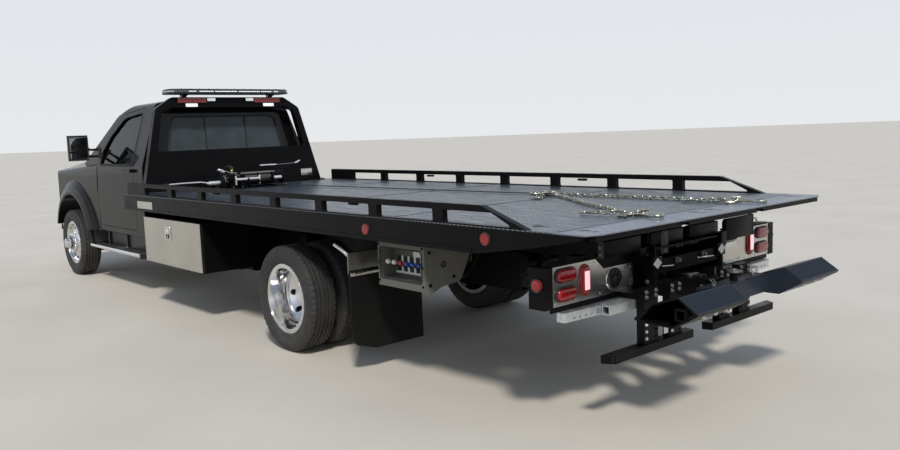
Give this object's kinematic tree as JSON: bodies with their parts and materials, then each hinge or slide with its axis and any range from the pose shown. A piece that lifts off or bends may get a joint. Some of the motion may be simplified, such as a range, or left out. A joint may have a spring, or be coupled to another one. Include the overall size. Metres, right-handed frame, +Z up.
{
  "type": "flatbed tow truck",
  "caption": "Flatbed recovery truck with cab, tilting and sliding steel deck, winch with chains, lamp rack and an underslung wheel lift at the tail.",
  "frame": {"origin": "on the ground under the middle of the truck's length and width", "axes": "+X forwards, +Y to the left, +Z up"},
  "size_m": [9.352, 2.5728, 2.11],
  "materials": {
    "black_paint": "gloss",
    "frame_black": "satin",
    "deck_paint": "satin",
    "stainless": "polished",
    "galvanised": "matt",
    "chrome": "polished",
    "alloy": "polished",
    "tyre": "matt",
    "rubber": "matt",
    "black_plastic": "textured",
    "grey_plastic": "textured",
    "seat_fabric": "woven",
    "glass": "clear",
    "clear_lens": "gloss",
    "red_lens": "gloss",
    "steel": "satin",
    "zinc_chain": "satin"
  },
  "bodies": {
    "chassis": {"chassis_frame": "frame_black", "rear_suspension": "frame_black", "front_suspension": "frame_black", "drivetrain": "steel", "fuel_tank": "alloy", "exhaust": "steel", "cab_shell": "black_paint", "cab_glass": "glass", "dashboard": "grey_plastic", "seats": "seat_fabric", "front_fenders": "black_paint", "grille": "chrome", "headlamps": "clear_lens", "front_bumper": "chrome", "running_boards": "chrome", "toolboxes": "stainless", "mud_flaps": "rubber", "flap_brackets": "stainless", "control_stations": "frame_black"},
    "hood": {"hood": "black_paint"},
    "knuckle_left": {"knuckle_left": "steel"},
    "front_wheel_left": {"front_tyre_left": "tyre", "front_rim_left": "alloy"},
    "rear_wheels_left": {"rear_tyres_left": "tyre", "rear_rims_left": "alloy"},
    "door_left": {"door_left": "black_paint", "door_glass_left": "glass"},
    "toolbox_lid_left": {"toolbox_lid_left": "stainless"},
    "knuckle_right": {"knuckle_right": "steel"},
    "front_wheel_right": {"front_tyre_right": "tyre", "front_rim_right": "alloy"},
    "rear_wheels_right": {"rear_tyres_right": "tyre", "rear_rims_right": "alloy"},
    "door_right": {"door_right": "black_paint", "door_glass_right": "glass"},
    "toolbox_lid_right": {"toolbox_lid_right": "stainless"},
    "bed_frame": {"subframe": "frame_black", "tail_frame": "frame_black", "tail_panels": "stainless", "tail_lamps": "red_lens", "underride_bars": "frame_black", "l_arms": "galvanised"},
    "lift_boom": {"boom_outer": "frame_black"},
    "lift_extension": {"boom_inner": "deck_paint"},
    "crossbar": {"crossbar": "deck_paint"},
    "tilt_cylinders": {"tilt_cylinders": "frame_black"},
    "tilt_rods": {"tilt_rods": "chrome"},
    "deck": {"deck_frame": "frame_black", "deck_floor": "deck_paint", "side_rails": "frame_black", "headache_rack": "frame_black", "light_bar": "red_lens", "deck_lamps": "red_lens", "winch": "frame_black", "winch_cable": "steel", "tow_hook": "zinc_chain", "bridle_chains": "zinc_chain"},
    "winch_drum": {"winch_drum": "steel"}
  },
  "joints": [
    {"name": "steer_left", "type": "hinge", "parent": "chassis", "child": "knuckle_left", "pos_m": [3.703, 0.78, 0.395], "axis": [0, 0, 1], "range_deg": [-35, 35]},
    {"name": "front_wheel_left_spin", "type": "hinge", "parent": "knuckle_left", "child": "front_wheel_left", "pos_m": [3.703, 0.95, 0.395], "axis": [0, 1, 0], "continuous": true},
    {"name": "rear_wheels_left_spin", "type": "hinge", "parent": "chassis", "child": "rear_wheels_left", "pos_m": [-1.504, 0.933, 0.395], "axis": [0, 1, 0], "continuous": true},
    {"name": "door_left_hinge", "type": "hinge", "parent": "chassis", "child": "door_left", "pos_m": [2.876, 0.985, 1], "axis": [0, 0, -1], "range_deg": [0, 65]},
    {"name": "toolbox_lid_left_hinge", "type": "hinge", "parent": "chassis", "child": "toolbox_lid_left", "pos_m": [0.404, 1.195, 0.442], "axis": [-1, 0, 0], "range_deg": [0, 90]},
    {"name": "steer_right", "type": "hinge", "parent": "chassis", "child": "knuckle_right", "pos_m": [3.703, -0.78, 0.395], "axis": [0, 0, 1], "range_deg": [-35, 35]},
    {"name": "front_wheel_right_spin", "type": "hinge", "parent": "knuckle_right", "child": "front_wheel_right", "pos_m": [3.703, -0.95, 0.395], "axis": [0, 1, 0], "continuous": true},
    {"name": "rear_wheels_right_spin", "type": "hinge", "parent": "chassis", "child": "rear_wheels_right", "pos_m": [-1.504, -0.933, 0.395], "axis": [0, 1, 0], "continuous": true},
    {"name": "door_right_hinge", "type": "hinge", "parent": "chassis", "child": "door_right", "pos_m": [2.876, -0.985, 1], "axis": [0, 0, 1], "range_deg": [0, 65]},
    {"name": "toolbox_lid_right_hinge", "type": "hinge", "parent": "chassis", "child": "toolbox_lid_right", "pos_m": [0.404, -1.195, 0.442], "axis": [1, 0, 0], "range_deg": [0, 90]},
    {"name": "hood_hinge", "type": "hinge", "parent": "chassis", "child": "hood", "pos_m": [3.346, 0, 1.4], "axis": [0, -1, 0], "range_deg": [0, 50]},
    {"name": "bed_tilt", "type": "hinge", "parent": "chassis", "child": "bed_frame", "pos_m": [-3.264, 0, 0.745], "axis": [0, -1, 0], "range_deg": [0, 14]},
    {"name": "bed_slide", "type": "slide", "parent": "bed_frame", "child": "deck", "axis": [-1, 0, 0], "range_m": [0, 3]},
    {"name": "winch_spin", "type": "hinge", "parent": "deck", "child": "winch_drum", "pos_m": [1.006, 0, 1.164], "axis": [0, 1, 0], "continuous": true},
    {"name": "lift_tilt", "type": "hinge", "parent": "bed_frame", "child": "lift_boom", "pos_m": [-3.554, 0, 0.62], "axis": [0, 1, 0], "range_deg": [-14, 3]},
    {"name": "boom_extend", "type": "slide", "parent": "lift_boom", "child": "lift_extension", "axis": [1, 0, 0], "range_m": [-0.45, 0]},
    {"name": "crossbar_swivel", "type": "hinge", "parent": "lift_extension", "child": "crossbar", "pos_m": [-4.426, 0, 0.64], "axis": [0, 0, 1], "range_deg": [-8, 8]},
    {"name": "cylinder_swing", "type": "hinge", "parent": "chassis", "child": "tilt_cylinders", "pos_m": [-0.884, 0, 0.62], "axis": [0, -1, 0], "range_deg": [0, 39.8]},
    {"name": "rod_extend", "type": "slide", "parent": "tilt_cylinders", "child": "tilt_rods", "axis": [0.9883, 0, 0.1525], "range_m": [0, 0.3134]}
  ],
  "couplings": [
    {"joint": "steer_right", "follows": "steer_left", "ratio": 1},
    {"joint": "cylinder_swing", "follows": "bed_tilt", "ratio": 2.8423},
    {"joint": "rod_extend", "follows": "bed_tilt", "m_per_rad": 1.2805}
  ]
}
